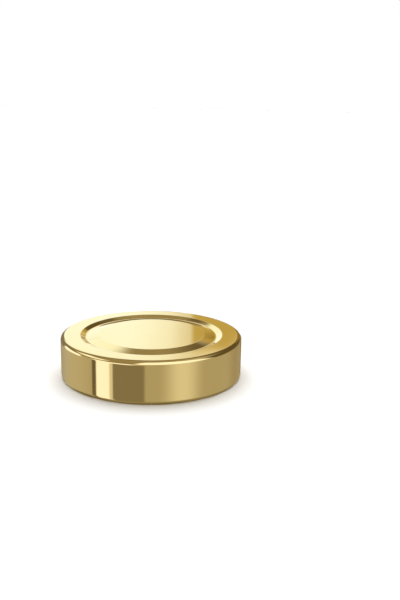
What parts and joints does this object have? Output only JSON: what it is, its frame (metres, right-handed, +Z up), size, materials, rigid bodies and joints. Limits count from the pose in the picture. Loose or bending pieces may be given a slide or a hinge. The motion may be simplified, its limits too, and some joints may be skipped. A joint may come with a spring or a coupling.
{
  "type": "jar lid",
  "caption": "Gold twist-off jar lid: pressed panel with a groove, smooth deep skirt, rolled edge with lugs, and a sealing ring inside.",
  "frame": {"origin": "centre of the mouth, in the plane that the rolled edge stands on", "axes": "+Z up along the lid's axis, from the mouth to the panel; one lug is centred on +X"},
  "size_m": [0.0696, 0.0696, 0.016],
  "materials": {
    "gold_lacquer": "glossy gold lacquer on tinplate",
    "sealing_compound": "soft satin"
  },
  "bodies": {
    "root": {"lid_shell": "gold_lacquer", "sealing_ring": "sealing_compound"}
  },
  "joints": []
}
